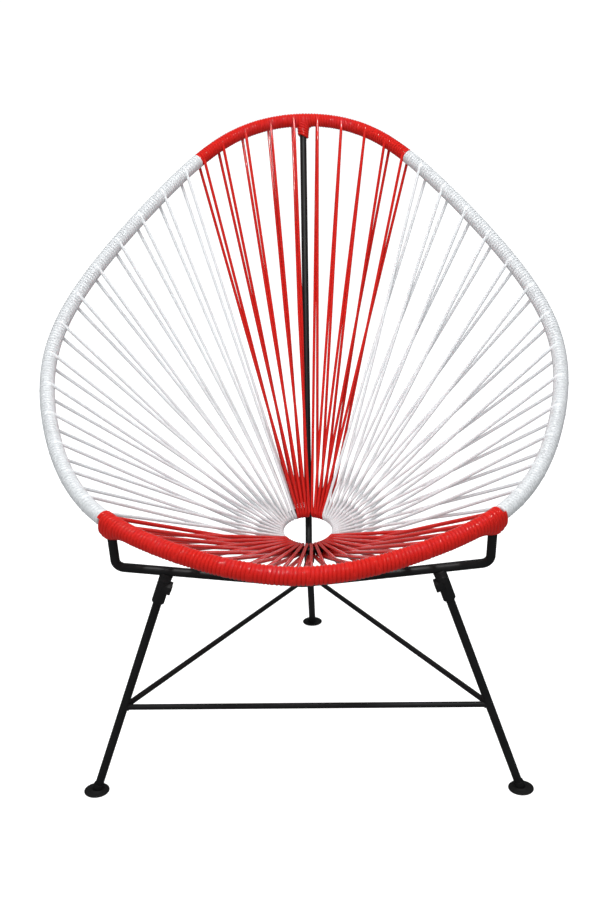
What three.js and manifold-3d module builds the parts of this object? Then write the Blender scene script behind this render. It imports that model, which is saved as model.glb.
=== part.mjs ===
// An open-air lounge chair: a steel hoop wound with round vinyl cord, a fan of cords that runs
// from the hoop to a small ring under the seat, and a three-legged steel base.
// Millimetres, +Z up, the front towards -Y, the origin on the floor under the middle of the chair.
import * as THREE from 'three';
import { mergeVertices } from 'three/addons/utils/BufferGeometryUtils.js';
import Module from 'manifold-3d';

const wasm = await Module();
wasm.setup();

// Overall sizes, measured over the wound cord
const overallWidth = 762;
const overallDepth = 754;
const overallHeight = 914;
const frontEdgeHeight = 390;

// Steel bars and tubes
const hoopDiameter = 12.7;
const crossbarDiameter = 12.3;
const spineDiameter = 11.1;
const ringBarDiameter = 12;
const legDiameter = 11.1;
const strutDiameter = 7.9;

// Cord: the layer wound on the hoop, and the strands between hoop and ring
const wrapThickness = 4.6;
const strandDiameter = 4.2;

// Clearances: between touching pieces, and between the lengths of cord that meet on the hoop
const fit = 0.3;
const seamGap = 0.5;
const ringFit = 0.5;

// Seat ring
const ringDiameter = 101.2;
const ringSetback = 98.3;
const ringHeight = 262.3;
const ringTilt = THREE.MathUtils.degToRad(18.7);

// How the four cords share the hoop, as lengths along it, and how many loops each one makes
const backCordLength = 416;
const backPitch = 44;
const backLoops = 10;
const backSpreadShare = 0.3;
const frontCordLength = 562;
const frontEndMargin = 21;
const frontLoops = 18;
const sideEndMargin = 40;
const sideLoops = 13;
// Along the hoop, from the strand that leaves over the hoop to the one that comes back under it,
// and along the ring, from where a loop goes under the bar to where it comes over
const rootSpread = 7;
const ringAdvance = 8;
// How much wider or closer the front loops stand at their middle, and over how many loops
const ringMiddleShare = 0.55;
const ringMiddleReach = 1.6;
const hoopMiddleShare = -0.35;
const hoopMiddleReach = 2.6;
// How the same cords share the ring, as parts of the whole turn
const backTurnShare = 69.2 / 360;
const frontTurnShare = 118.6 / 360;

// Crossbar, carried on two stubs under the front corners of the hoop
const stubInset = 12;
const stubDrop = 68;
const stubSetback = 18;
const cornerRadius = 12;
const crossbarDip = 25.5;

// Spine: down behind the seat, round a bend and forward under the ring to the crossbar
const spineDrop = 70.3;
const spineSetback = 49.7;
const spineBendRadius = 70;

// Legs and struts
const socketSpan = 353;
const frontFootSpan = 595.8;
const frontFootReach = 237.1;
const rearFootReach = 305.2;
const strutHeight = 136;
const braceOffset = 4.6;

// Leg sockets with their clamping screws
const socketDiameter = 17;
const socketLength = 46;
const saddleDepth = 3;
const legStop = 3;
const bossFlats = 18;
const bossHeight = 3.7;
const bossDrop = 17;
const screwDiameter = 8;
const screwHeadProud = 0.5;
const screwRecess = 3;
const screwKeyFlats = 4;

// Feet
const footDiameter = 35.5;
const footRim = 2.2;
const footCrown = 4.2;
const footEdge = 0.8;
const footFloor = 2.6;
const collarDiameter = 16.5;
const collarLength = 14;

// Cord wound over the welded joints, past the plain winding
const cornerWrapLength = 20;
const cornerWrapLip = 2.4;
const topWrapLength = 26;
const topWrapWidth = 18;

// Cutting overrun past a surface, and how finely round things are drawn
const overrun = 2;
const barSides = 10;
const wrapSides = 10;
const strandSides = 5;
const ringSteps = 40;
const bendSteps = 6;
const curlSteps = 6;
const hoopSteps = 64;
const samples = 1600;
const leastStep = 1;
const roundSteps = 16;
const hexSides = 6;

const steel = { color: 0x1d1d1e, roughness: 0.55, metalness: 0.35 };
const zinc = { color: 0x2a2a2c, roughness: 0.4, metalness: 0.6 };
const moulded = { color: 0x141414, roughness: 0.6, metalness: 0 };
const redCord = { color: 0xd8201f, roughness: 0.38, metalness: 0 };
const whiteCord = { color: 0xe9eaee, roughness: 0.4, metalness: 0 };

const half = 0.5;
const spot = (x, y, z) => new THREE.Vector3(x, y, z);
const along = (p, direction, distance) => p.clone().addScaledVector(direction, distance);
const toward = (a, b) => b.clone().sub(a).normalize();
const mirrored = (p, side) => spot(p.x * side, p.y, p.z);

// A path through a list of places, with one section on each of them
class StationPath extends THREE.Curve {
  constructor(places) {
    super();
    this.places = places;
  }

  getPoint(t, target = new THREE.Vector3()) {
    const last = this.places.length - 1;
    const at = Math.min(Math.max(t, 0), 1) * last;
    const i = Math.min(Math.floor(at), last - 1);
    return target.lerpVectors(this.places[i], this.places[i + 1], at - i);
  }

  getUtoTmapping(u) {
    return u;
  }

  getTangent(t, target = new THREE.Vector3()) {
    const last = this.places.length - 1;
    const i = Math.round(t * last);
    target.set(0, 0, 0);
    if (i > 0) target.add(toward(this.places[i - 1], this.places[i]));
    if (i < last) target.add(toward(this.places[i], this.places[i + 1]));
    return target.normalize();
  }
}

// A closed loop of places for the hoop
class StationLoop extends THREE.Curve {
  constructor(places) {
    super();
    this.places = places;
  }

  getPoint(t, target = new THREE.Vector3()) {
    const count = this.places.length;
    const i = Math.round(t * count) % count;
    return target.copy(this.places[i]);
  }

  getUtoTmapping(u) {
    return u;
  }

  getTangent(t, target = new THREE.Vector3()) {
    const count = this.places.length;
    const i = Math.round(t * count) % count;
    const before = this.places[(i + count - 1) % count];
    const after = this.places[(i + 1) % count];
    return target.copy(toward(before, this.places[i])).add(toward(this.places[i], after)).normalize();
  }
}

function circle(radius, sides) {
  const points = [];
  for (let i = 0; i < sides; i += 1) {
    const turn = (2 * Math.PI * i) / sides;
    points.push(new THREE.Vector2(radius * Math.cos(turn), radius * Math.sin(turn)));
  }
  return new THREE.Shape(points);
}

// A round bar through the places, flat at both ends
function bar(places, radius, sides = barSides) {
  const settings = { steps: places.length - 1, bevelEnabled: false, extrudePath: new StationPath(places) };
  return new THREE.ExtrudeGeometry(circle(radius, sides), settings);
}

// The space that a bar of this radius needs, with the fit all round it and past its facets
function roomFor(places, radius, sides = barSides, gap = fit) {
  const wide = (radius + gap) / Math.cos(Math.PI / sides);
  const first = along(places[0], toward(places[1], places[0]), overrun);
  const last = places.length - 1;
  const end = along(places[last], toward(places[last - 1], places[last]), overrun);
  return bar([first, ...places.slice(1, -1), end], wide, sides);
}

function solid(geometry) {
  const bare = geometry.index ? geometry.clone() : geometry;
  bare.deleteAttribute('normal');
  bare.deleteAttribute('uv');
  const merged = mergeVertices(bare);
  const vertProperties = Float32Array.from(merged.attributes.position.array);
  const triVerts = Uint32Array.from(merged.index.array);
  return new wasm.Manifold(new wasm.Mesh({ numProp: 3, vertProperties, triVerts }));
}

function surface(body) {
  const mesh = body.getMesh();
  const geometry = new THREE.BufferGeometry();
  geometry.setAttribute('position', new THREE.BufferAttribute(Float32Array.from(mesh.vertProperties), 3));
  geometry.setIndex(new THREE.BufferAttribute(Uint32Array.from(mesh.triVerts), 1));
  return geometry;
}

function shaped(start, added = [], cut = []) {
  let body = solid(start);
  for (const piece of added) body = body.add(solid(piece));
  for (const piece of cut) body = body.subtract(solid(piece));
  return surface(body);
}

// A closed profile of [radius, height] points turned round an axis that starts at a place
function turned(profile, start, axis, sides = roundSteps) {
  const points = profile.map(([radius, height]) => new THREE.Vector2(radius, height));
  const geometry = new THREE.LatheGeometry(points, sides);
  geometry.applyQuaternion(new THREE.Quaternion().setFromUnitVectors(spot(0, 1, 0), axis));
  return geometry.translate(start.x, start.y, start.z);
}

function plug(start, axis, radius, length, sides = roundSteps) {
  return turned([[0, 0], [radius, 0], [radius, length], [0, length]], start, axis, sides);
}

// Hoop centreline: one half's control points from the top to the front, the other half mirrored.
// The shares are of the half width, of the half depth and of the rise from the front to the top.
const hoopShares = [
  [0, 1.0458, 1.0147],
  [0.3354, 0.9083, 0.971],
  [0.6092, 0.6165, 0.7954],
  [0.8803, 0.3177, 0.588],
  [1.0335, 0.0361, 0.3998],
  [0.9611, -0.3185, 0.2183],
  [0.7754, -0.6759, 0.079],
  [0.4222, -0.9113, 0.0286],
  [0, -1.0444, -0.0145],
];
const hoopRadius = hoopDiameter * half;
const wrapRadius = hoopRadius + wrapThickness;
const halfWidth = overallWidth * half - wrapRadius;
const halfDepth = overallDepth * half - wrapRadius;
const rise = overallHeight - frontEdgeHeight;
const frontLevel = frontEdgeHeight - wrapRadius;

function controlPoints() {
  const near = hoopShares.map(([x, y, z]) => spot(x * halfWidth, y * halfDepth, frontLevel + z * rise));
  const far = near.slice(1, -1).reverse().map((p) => mirrored(p, -1));
  return [...near, ...far];
}

// A place on the closed uniform cubic B-spline of the control points
function splinePlace(points, t) {
  const count = points.length;
  const i = Math.floor(t * count) % count;
  const f = t * count - Math.floor(t * count);
  const weights = [(1 - f) ** 3, 3 * f ** 3 - 6 * f ** 2 + 4, -3 * f ** 3 + 3 * f ** 2 + 3 * f + 1, f ** 3];
  const place = spot(0, 0, 0);
  weights.forEach((weight, k) => {
    place.addScaledVector(points[(i + count - 1 + k) % count], weight / 6);
  });
  return place;
}

const finePlaces = [];
const fineLengths = [0];
const controls = controlPoints();
for (let i = 0; i <= samples; i += 1) {
  finePlaces.push(splinePlace(controls, i / samples));
  if (i > 0) fineLengths.push(fineLengths[i - 1] + finePlaces[i].distanceTo(finePlaces[i - 1]));
}
const hoopLength = fineLengths[samples];
const hoopStep = hoopLength / hoopSteps;

// The hoop's stations stand at even lengths along the spline, from the top centre towards the left
function stationPlace(k) {
  const wanted = hoopStep * (((-k % hoopSteps) + hoopSteps) % hoopSteps);
  let i = 1;
  while (fineLengths[i] < wanted) i += 1;
  const f = (wanted - fineLengths[i - 1]) / (fineLengths[i] - fineLengths[i - 1]);
  return finePlaces[i - 1].clone().lerp(finePlaces[i], f);
}

// The hoop between its stations, at a length from the top centre
function hoopAt(length) {
  const k = Math.floor(length / hoopStep);
  const here = stationPlace(k);
  const next = stationPlace(k + 1);
  return { place: here.clone().lerp(next, length / hoopStep - k), direction: toward(here, next) };
}

function hoopRun(from, to) {
  const places = [hoopAt(from).place];
  for (let k = Math.ceil((from + leastStep) / hoopStep); k * hoopStep < to - leastStep; k += 1) {
    places.push(stationPlace(k));
  }
  return [...places, hoopAt(to).place];
}

// Seat ring frame: out along the ring's plane at an angle, 90 degrees at the back
const ringRadius = ringDiameter * half;
const ringBarRadius = ringBarDiameter * half;
const ringCentre = spot(0, ringSetback, ringHeight);
const ringRight = spot(1, 0, 0);
const ringBack = spot(0, Math.cos(ringTilt), Math.sin(ringTilt));
const ringUp = spot(0, -Math.sin(ringTilt), Math.cos(ringTilt));

function ringOut(angle) {
  return ringRight.clone().multiplyScalar(Math.cos(angle)).addScaledVector(ringBack, Math.sin(angle));
}

// One loop of cord: over the hoop, down under the ring, up through its hole and back under the hoop.
// The two strands cross midway, and the loop moves on along the ring as it goes round its bar.
const strandRadius = strandDiameter * half;
const windingRadius = hoopRadius + wrapThickness * half;
const curlRadius = ringBarRadius + ringFit + strandRadius;
const advanceAngle = ringAdvance / ringRadius;

function rootPlace(length, ringPlace, height) {
  const { place, direction } = hoopAt(length);
  const lift = direction.clone().cross(toward(place, ringPlace)).normalize();
  if (lift.dot(ringUp) < 0) lift.negate();
  return along(place, lift, height);
}

function loopPlaces(length, angle, spread) {
  const ringPlace = along(ringCentre, ringOut(angle), ringRadius);
  const run = toward(hoopAt(length).place, ringPlace);
  const slope = Math.atan2(-run.dot(ringUp), -run.dot(ringOut(angle)));
  const places = [rootPlace(length - spread * half, ringPlace, windingRadius)];
  for (let i = 0; i <= curlSteps; i += 1) {
    const turn = Math.PI * (1 + half) + slope - (Math.PI * i) / curlSteps;
    const out = ringOut(angle + advanceAngle * (i / curlSteps - half));
    const reach = along(ringCentre, out, ringRadius + curlRadius * Math.cos(turn));
    places.push(along(reach, ringUp, curlRadius * Math.sin(turn)));
  }
  places.push(rootPlace(length + spread * half, ringPlace, -windingRadius));
  return places;
}

// Where the strands of each cord leave the hoop and where they turn round the ring
const fullTurn = 2 * Math.PI;
const sideTurnShare = (1 - backTurnShare - frontTurnShare) * half;
const sideStart = backCordLength * half;
const frontStart = (hoopLength - frontCordLength) * half;

function backStrands() {
  const list = [];
  for (let i = 0; i < backLoops; i += 1) {
    const place = i - (backLoops - 1) * half;
    const angle = fullTurn / 4 + (place * fullTurn * backTurnShare) / backLoops;
    list.push(loopPlaces(place * backPitch, angle, Math.sign(place) * rootSpread * backSpreadShare));
  }
  return list;
}

function sideStrands(side) {
  const list = [];
  const first = sideStart + sideEndMargin;
  const last = frontStart - sideEndMargin;
  for (let i = 0; i < sideLoops; i += 1) {
    const length = first + ((last - first) * i) / (sideLoops - 1);
    const share = backTurnShare * half + (sideTurnShare * (i + half)) / sideLoops;
    list.push(loopPlaces(side * length, fullTurn / 4 + side * fullTurn * share, side * rootSpread));
  }
  return list;
}

// Shares from 0 to 1 for a row of loops whose gaps are wider or closer by a share at the middle
function spacedShares(count, middleShare, reach) {
  const shares = [0];
  for (let i = 1; i < count; i += 1) {
    const off = (i - count * half) / reach;
    shares.push(shares[i - 1] + 1 + middleShare * Math.exp(-(off * off)));
  }
  return shares.map((share) => share / shares[count - 1]);
}

function frontStrands() {
  const list = [];
  const first = frontStart + frontEndMargin;
  const last = hoopLength - first;
  const firstShare = backTurnShare * half + sideTurnShare + (frontTurnShare * half) / frontLoops;
  const lastShare = firstShare + (frontTurnShare * (frontLoops - 1)) / frontLoops;
  const hoopShare = spacedShares(frontLoops, hoopMiddleShare, hoopMiddleReach);
  const ringShare = spacedShares(frontLoops, ringMiddleShare, ringMiddleReach);
  for (let i = 0; i < frontLoops; i += 1) {
    const share = firstShare + (lastShare - firstShare) * ringShare[i];
    const length = first + (last - first) * hoopShare[i];
    list.push(loopPlaces(length, fullTurn / 4 + fullTurn * share, rootSpread));
  }
  return list;
}

// Crossbar centreline: up one stub, round the corner, along two straight arms and up the other
const crossbarRadius = crossbarDiameter * half;
const stubTop = hoopAt(frontStart + stubInset).place;
const crossbarY = stubTop.y + stubSetback;
const cornerLeft = spot(stubTop.x, crossbarY, stubTop.z - stubDrop);
const crossbarMiddle = spot(0, crossbarY, cornerLeft.z - crossbarDip);

function rounded(before, corner, after, radius) {
  const back = toward(corner, before);
  const ahead = toward(corner, after);
  const bend = Math.PI - back.angleTo(ahead);
  const reach = radius * Math.tan(bend * half);
  const inward = back.clone().add(ahead).normalize();
  const centre = along(corner, inward, radius / Math.cos(bend * half));
  const start = along(corner, back, reach).sub(centre);
  const axis = start.clone().cross(along(corner, ahead, reach).sub(centre)).normalize();
  const places = [];
  for (let i = 0; i <= bendSteps; i += 1) {
    places.push(start.clone().applyAxisAngle(axis, (bend * i) / bendSteps).add(centre));
  }
  return places;
}

const leftArm = [stubTop, ...rounded(stubTop, cornerLeft, crossbarMiddle, cornerRadius)];
const crossbarPlaces = [...leftArm, crossbarMiddle, ...leftArm.map((p) => mirrored(p, -1)).reverse()];

// Spine centreline
const spineRadius = spineDiameter * half;
const spineTop = hoopAt(0).place;
const spineCorner = spot(0, ringSetback + spineSetback, ringHeight - spineDrop);
const spineBend = rounded(spineTop, spineCorner, crossbarMiddle, spineBendRadius);
const spinePlaces = [spineTop, ...spineBend, crossbarMiddle];

// Legs: axis from the bar that carries the socket down to the floor
const legRadius = legDiameter * half;
const strutRadius = strutDiameter * half;
const socketRadius = socketDiameter * half;
const armSlope = (cornerLeft.z - crossbarMiddle.z) / (crossbarMiddle.x - cornerLeft.x);
const frontSocketTop = spot(-socketSpan * half, crossbarY, crossbarMiddle.z + armSlope * socketSpan * half);
const rearSocketTop = spineBend[bendSteps * half];

const legs = {
  left: {
    top: frontSocketTop,
    foot: spot(-frontFootSpan * half, -frontFootReach, 0),
    carrier: crossbarPlaces,
    carrierRadius: crossbarRadius,
    bossSide: spot(1, 0, 0),
  },
  right: {
    top: mirrored(frontSocketTop, -1),
    foot: spot(frontFootSpan * half, -frontFootReach, 0),
    carrier: crossbarPlaces,
    carrierRadius: crossbarRadius,
    bossSide: spot(-1, 0, 0),
  },
  rear: {
    top: rearSocketTop,
    foot: spot(0, rearFootReach, 0),
    carrier: spinePlaces,
    carrierRadius: spineRadius,
    bossSide: spot(0, 1, 0),
  },
};

for (const leg of Object.values(legs)) {
  leg.down = toward(leg.top, leg.foot);
  leg.out = leg.bossSide.clone().addScaledVector(leg.down, -leg.bossSide.dot(leg.down)).normalize();
  const tilt = Math.acos(-leg.down.z);
  const bottom = (footFloor + fit + legRadius * Math.sin(tilt)) / Math.cos(tilt);
  leg.start = along(leg.top, leg.down, leg.carrierRadius + legStop);
  leg.end = along(leg.foot, leg.down, -bottom);
  leg.screwSeat = along(leg.top, leg.down, leg.carrierRadius + bossDrop);
}

function atHeight(leg, height) {
  return along(leg.foot, leg.down, -height / -leg.down.z);
}

const chair = new THREE.Group();

function place(name, geometry, look) {
  const mesh = new THREE.Mesh(geometry, new THREE.MeshStandardMaterial(look));
  mesh.name = name;
  chair.add(mesh);
}

function sideOf(p, side, offset) {
  return spot(p.x + side * offset, p.y, p.z);
}

// Hoop, ring, crossbar and spine
function hoopTube() {
  const path = new StationLoop(hoopRun(0, hoopLength).slice(0, -1));
  const tube = new THREE.TubeGeometry(path, path.places.length, hoopRadius, barSides, true);
  return surface(solid(tube));
}

function centreRing() {
  const ring = new THREE.TorusGeometry(ringRadius, ringBarRadius, barSides, ringSteps);
  ring.rotateX(ringTilt);
  ring.translate(ringCentre.x, ringCentre.y, ringCentre.z);
  return surface(solid(ring));
}

const hoopRoomAtStub = roomFor(hoopRun(frontStart - sideEndMargin, frontStart + sideEndMargin), hoopRadius);
const hoopRoomAtOtherStub = roomFor(
  hoopRun(-frontStart - sideEndMargin, -frontStart + sideEndMargin),
  hoopRadius,
);
const hoopRoomAtTop = roomFor(hoopRun(-sideEndMargin, sideEndMargin), hoopRadius);
const crossbarRoom = roomFor(crossbarPlaces, crossbarRadius);
const spineRoom = roomFor(spinePlaces, spineRadius);

place('hoop_tube', hoopTube(), steel);
place('centre_ring', centreRing(), steel);
place('crossbar', shaped(bar(crossbarPlaces, crossbarRadius), [], [hoopRoomAtStub, hoopRoomAtOtherStub]), steel);
place('spine_bar', shaped(bar(spinePlaces, spineRadius), [], [hoopRoomAtTop, crossbarRoom]), steel);

// Sockets, their bosses and screws, the legs and the feet
function hexagon(flats) {
  return (flats * half) / Math.cos(Math.PI / hexSides);
}

function socketGeometry(leg) {
  const top = along(leg.top, leg.down, leg.carrierRadius - saddleDepth);
  const end = along(leg.top, leg.down, leg.carrierRadius + socketLength);
  const carrierRoom = roomFor(leg.carrier, leg.carrierRadius);
  const screwRoom = plug(leg.screwSeat, leg.out, screwDiameter * half + fit, socketRadius + overrun);
  return shaped(bar([top, end], socketRadius), [], [roomFor([top, end], legRadius), carrierRoom, screwRoom]);
}

function bossGeometry(leg) {
  const reach = socketRadius + bossHeight;
  const block = plug(leg.screwSeat, leg.out, hexagon(bossFlats), reach, hexSides);
  const screwRoom = plug(leg.screwSeat, leg.out, screwDiameter * half + fit, reach + overrun);
  const socketRoom = roomFor([leg.top, leg.end], socketRadius);
  return shaped(block, [], [screwRoom, socketRoom]);
}

function screwGeometry(leg) {
  const start = along(leg.screwSeat, leg.out, legRadius + fit);
  const length = socketRadius + bossHeight + screwHeadProud - legRadius - fit;
  const shank = plug(start, leg.out, screwDiameter * half, length);
  const recessStart = along(start, leg.out, length - screwRecess);
  const recess = plug(recessStart, leg.out, hexagon(screwKeyFlats), screwRecess + overrun, hexSides);
  return shaped(shank, [], [recess]);
}

function footGeometry(leg) {
  const rim = footDiameter * half;
  const collar = collarDiameter * half;
  const profile = [
    [0, 0],
    [rim - footEdge, 0],
    [rim, footEdge],
    [rim, footRim],
    [collar, footCrown],
    [0, footCrown],
  ];
  const disc = turned(profile, leg.foot, spot(0, 0, 1));
  const collarBar = bar([leg.end, along(leg.foot, leg.down, -collarLength)], collar, roundSteps);
  const legRoom = roomFor([along(leg.end, leg.down, fit - overrun), leg.start], legRadius);
  return shaped(disc, [collarBar], [legRoom]);
}

for (const [name, leg] of Object.entries(legs)) {
  place(`leg_socket_${name}`, socketGeometry(leg), steel);
  place(`socket_boss_${name}`, bossGeometry(leg), steel);
  place(`set_screw_${name}`, screwGeometry(leg), zinc);
  place(name === 'rear' ? 'rear_leg' : `front_leg_${name}`, bar([leg.start, leg.end], legRadius), steel);
  place(`foot_${name}`, footGeometry(leg), moulded);
}

// Stretcher between the front legs, and a brace from each front leg to the rear leg
const strutLeft = atHeight(legs.left, strutHeight);
const strutRight = atHeight(legs.right, strutHeight);
const strutRear = atHeight(legs.rear, strutHeight);
const legRooms = {};
for (const [name, leg] of Object.entries(legs)) legRooms[name] = roomFor([leg.start, leg.end], legRadius);
const stretcherPlaces = [strutLeft, strutRight];
const stretcherRoom = roomFor(stretcherPlaces, strutRadius);
place('stretcher', shaped(bar(stretcherPlaces, strutRadius), [], [legRooms.left, legRooms.right]), steel);
const braceLeft = bar([strutLeft, sideOf(strutRear, -1, braceOffset)], strutRadius);
const braceRight = bar([strutRight, sideOf(strutRear, 1, braceOffset)], strutRadius);
place('brace_left', shaped(braceLeft, [], [legRooms.left, stretcherRoom, legRooms.rear]), steel);
place('brace_right', shaped(braceRight, [], [legRooms.right, stretcherRoom, legRooms.rear]), steel);

// Cords: the layer wound on the hoop with all its strands, bored for the steel that it covers
function cordGeometry(from, to, strands, lumps, cut) {
  const winding = bar(hoopRun(from, to), wrapRadius, wrapSides);
  const core = roomFor(hoopRun(from, to), hoopRadius);
  const loops = strands.map((places) => bar(places, strandRadius, strandSides));
  return shaped(winding, [...loops, ...lumps], [core, ...cut]);
}

function cornerWrap(side) {
  const start = mirrored(stubTop, side);
  const down = toward(start, mirrored(leftArm[1], side));
  const neck = crossbarRadius + cornerWrapLip;
  return turned([[0, 0], [wrapRadius, 0], [neck, cornerWrapLength], [0, cornerWrapLength]], start, down);
}

function topWrap() {
  const down = toward(spineTop, spineBend[0]);
  const neck = spineRadius + strandRadius;
  const profile = [[0, 0], [topWrapWidth * half, 0], [neck, topWrapLength], [0, topWrapLength]];
  return turned(profile, spineTop, down);
}

const seam = seamGap * half;
const backEnd = sideStart - seam;
const sideEnd = frontStart - seam;
const frontFrom = frontStart + seam;
const frontTo = hoopLength - frontStart - seam;
place('cord_back', cordGeometry(-backEnd, backEnd, backStrands(), [topWrap()], [spineRoom]), redCord);
place('cord_left', cordGeometry(sideStart + seam, sideEnd, sideStrands(1), [], []), whiteCord);
place('cord_right', cordGeometry(-sideEnd, -sideStart - seam, sideStrands(-1), [], []), whiteCord);
const corners = [cornerWrap(1), cornerWrap(-1)];
place('cord_front', cordGeometry(frontFrom, frontTo, frontStrands(), corners, [crossbarRoom]), redCord);

export default chair;
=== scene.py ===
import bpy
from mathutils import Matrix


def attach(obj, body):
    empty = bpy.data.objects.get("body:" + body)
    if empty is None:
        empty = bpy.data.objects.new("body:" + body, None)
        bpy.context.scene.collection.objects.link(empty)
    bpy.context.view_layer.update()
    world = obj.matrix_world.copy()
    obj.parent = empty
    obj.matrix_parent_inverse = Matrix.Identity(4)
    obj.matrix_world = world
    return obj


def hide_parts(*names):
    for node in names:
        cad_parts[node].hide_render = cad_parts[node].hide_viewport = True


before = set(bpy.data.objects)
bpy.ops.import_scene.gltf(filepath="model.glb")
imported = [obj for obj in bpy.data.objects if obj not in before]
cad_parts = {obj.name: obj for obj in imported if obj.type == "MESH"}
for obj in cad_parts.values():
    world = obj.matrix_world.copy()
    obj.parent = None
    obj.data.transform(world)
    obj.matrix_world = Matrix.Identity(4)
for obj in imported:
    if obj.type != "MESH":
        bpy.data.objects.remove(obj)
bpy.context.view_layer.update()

import math
import random

import bmesh
import bpy
import numpy as np
from mathutils import Matrix, Vector, noise

rng = random.Random(11)
scene = bpy.context.scene
root = "root"
fullTurn = 2 * math.pi
print("frame loaded,", len(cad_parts), "nodes")

# The camera stands where the photograph was taken from
camera = {
    "place": (0.0394, -1.5826, 0.8973), "pitch": 16.52, "yaw": 1.68, "roll": -1.31,
    "lens": 44, "sensor": 36, "reach": 100,
}


def aimedCamera():
    yaw, pitch, roll = (math.radians(camera[key]) for key in ("yaw", "pitch", "roll"))
    ahead = Vector((-math.sin(yaw) * math.cos(pitch), math.cos(yaw) * math.cos(pitch), -math.sin(pitch)))
    level = Vector((math.cos(yaw), math.sin(yaw), 0))
    upright = Vector((-math.sin(yaw) * math.sin(pitch), math.cos(yaw) * math.sin(pitch), math.cos(pitch)))
    right = level * math.cos(roll) + upright * math.sin(roll)
    up = upright * math.cos(roll) - level * math.sin(roll)
    data = bpy.data.cameras.new("photoCamera")
    data.lens = camera["lens"]
    data.sensor_width = camera["sensor"]
    data.clip_end = camera["reach"]
    made = bpy.data.objects.new("photoCamera", data)
    turned = Matrix((right, up, -ahead)).transposed().to_4x4()
    made.matrix_world = Matrix.Translation(camera["place"]) @ turned
    scene.collection.objects.link(made)
    scene.camera = made


aimedCamera()
scene.view_settings.view_transform = "Standard"


# A socket that takes part in sums: an expression on it adds the Math nodes
class Field:
    def __init__(self, shader, socket):
        self.shader = shader
        self.socket = socket

    def math(self, operation, first, second):
        return self.shader.node("ShaderNodeMath", {"operation": operation}, {0: first, 1: second})

    def __add__(self, other):
        return self.math("ADD", self, other)

    def __radd__(self, other):
        return self.math("ADD", other, self)

    def __sub__(self, other):
        return self.math("SUBTRACT", self, other)

    def __rsub__(self, other):
        return self.math("SUBTRACT", other, self)

    def __mul__(self, other):
        return self.math("MULTIPLY", self, other)

    def __rmul__(self, other):
        return self.math("MULTIPLY", other, self)


# One material and the nodes in it. In the settings of the finishes, a grain is a noise's scale,
# detail and roughness, and a band is where its ramp starts and ends.
class Finish:
    def __init__(self, name):
        self.material = bpy.data.materials.new(name)
        self.material.use_nodes = True
        self.tree = self.material.node_tree
        self.surface = self.tree.nodes["Principled BSDF"]

    def node(self, kind, settings=None, inputs=None, output=0):
        made = self.tree.nodes.new(kind)
        for key, value in (settings or {}).items():
            if key == "stops":
                for element, (place, tone) in zip(made.color_ramp.elements, value):
                    element.position = place
                    element.color = (tone, tone, tone, 1)
            else:
                setattr(made, key, value)
        for key, value in (inputs or {}).items():
            self.feed(made.inputs[key], value)
        return Field(self, made.outputs[output])

    def feed(self, socket, value):
        if isinstance(value, Field):
            self.tree.links.new(value.socket, socket)
        else:
            socket.default_value = value

    def set(self, **inputs):
        for key, value in inputs.items():
            self.feed(self.surface.inputs[key.replace("_", " ")], value)

    def place(self):
        return self.node("ShaderNodeTexCoord", output="Object")

    def grain(self, scale, detail, roughness):
        inputs = {"Vector": self.place(), "Scale": scale, "Detail": detail, "Roughness": roughness}
        return self.node("ShaderNodeTexNoise", {}, inputs)

    def ramp(self, value, low, high):
        return self.node("ShaderNodeValToRGB", {"stops": ((low, 0), (high, 1))}, {"Fac": value})

    def mix(self, factor, first, second):
        inputs = {0: factor, 6: first, 7: second}
        return self.node("ShaderNodeMix", {"data_type": "RGBA"}, inputs, output=2)

    def bump(self, height, distance):
        return self.node("ShaderNodeBump", {}, {"Height": height, "Distance": distance, "Strength": 1})


# Powder coat: near-black satin with a fine orange peel, a little dust and rubbed patches.
# The weld beads carry it over a rippled metal.
coat = {
    "black": (0.0095, 0.0095, 0.0098, 1), "dusty": (0.019, 0.019, 0.0195, 1),
    "roughness": 0.48, "rubbed": 0.12, "polished": 0.05, "specular": 0.2,
    "peelGrain": (900, 2, 0.4), "peelDepth": 0.00006,
    "mottleGrain": (22, 5, 0.6), "mottleBand": (0.42, 0.72), "mottleDust": 0.35,
    "speckGrain": (420, 3, 0.5), "speckBand": (0.6, 0.68), "speckDust": 0.25,
    "rippleGrain": (330, 3, 0.6), "rippleDepth": 0.0007, "rippleRoughness": 0.1, "peelOnRipple": 0.15,
}


def powderCoat():
    finish = Finish("powder coat")
    mottle = finish.ramp(finish.grain(*coat["mottleGrain"]), *coat["mottleBand"])
    speck = finish.ramp(finish.grain(*coat["speckGrain"]), *coat["speckBand"])
    dust = mottle * coat["mottleDust"] + speck * coat["speckDust"]
    peel = finish.grain(*coat["peelGrain"])
    finish.set(
        Base_Color=finish.mix(dust, coat["black"], coat["dusty"]),
        Roughness=coat["roughness"] + mottle * coat["rubbed"] - speck * coat["polished"],
        Specular_IOR_Level=coat["specular"],
        Normal=finish.bump(peel, coat["peelDepth"]),
    )
    return finish.material


def coatedWeld():
    finish = Finish("coated weld")
    ripple = finish.grain(*coat["rippleGrain"])
    peel = finish.grain(*coat["peelGrain"])
    finish.set(
        Base_Color=finish.mix(ripple, coat["black"], coat["dusty"]),
        Roughness=coat["roughness"] + ripple * coat["rippleRoughness"],
        Specular_IOR_Level=coat["specular"],
        Normal=finish.bump(ripple + peel * coat["peelOnRipple"], coat["rippleDepth"]),
    )
    return finish.material


# Black oxide on the clamping screws, worn bright in small patches
oxide = {
    "dark": (0.018, 0.018, 0.019, 1), "worn": (0.11, 0.11, 0.115, 1), "metallic": 0.75,
    "wearGrain": (700, 6, 0.7), "wearBand": (0.55, 0.75), "wearShare": 0.7,
    "roughness": 0.36, "wornRoughness": 0.2, "toolingGrain": (1600, 2, 0.5), "toolingDepth": 0.00004,
}


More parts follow.
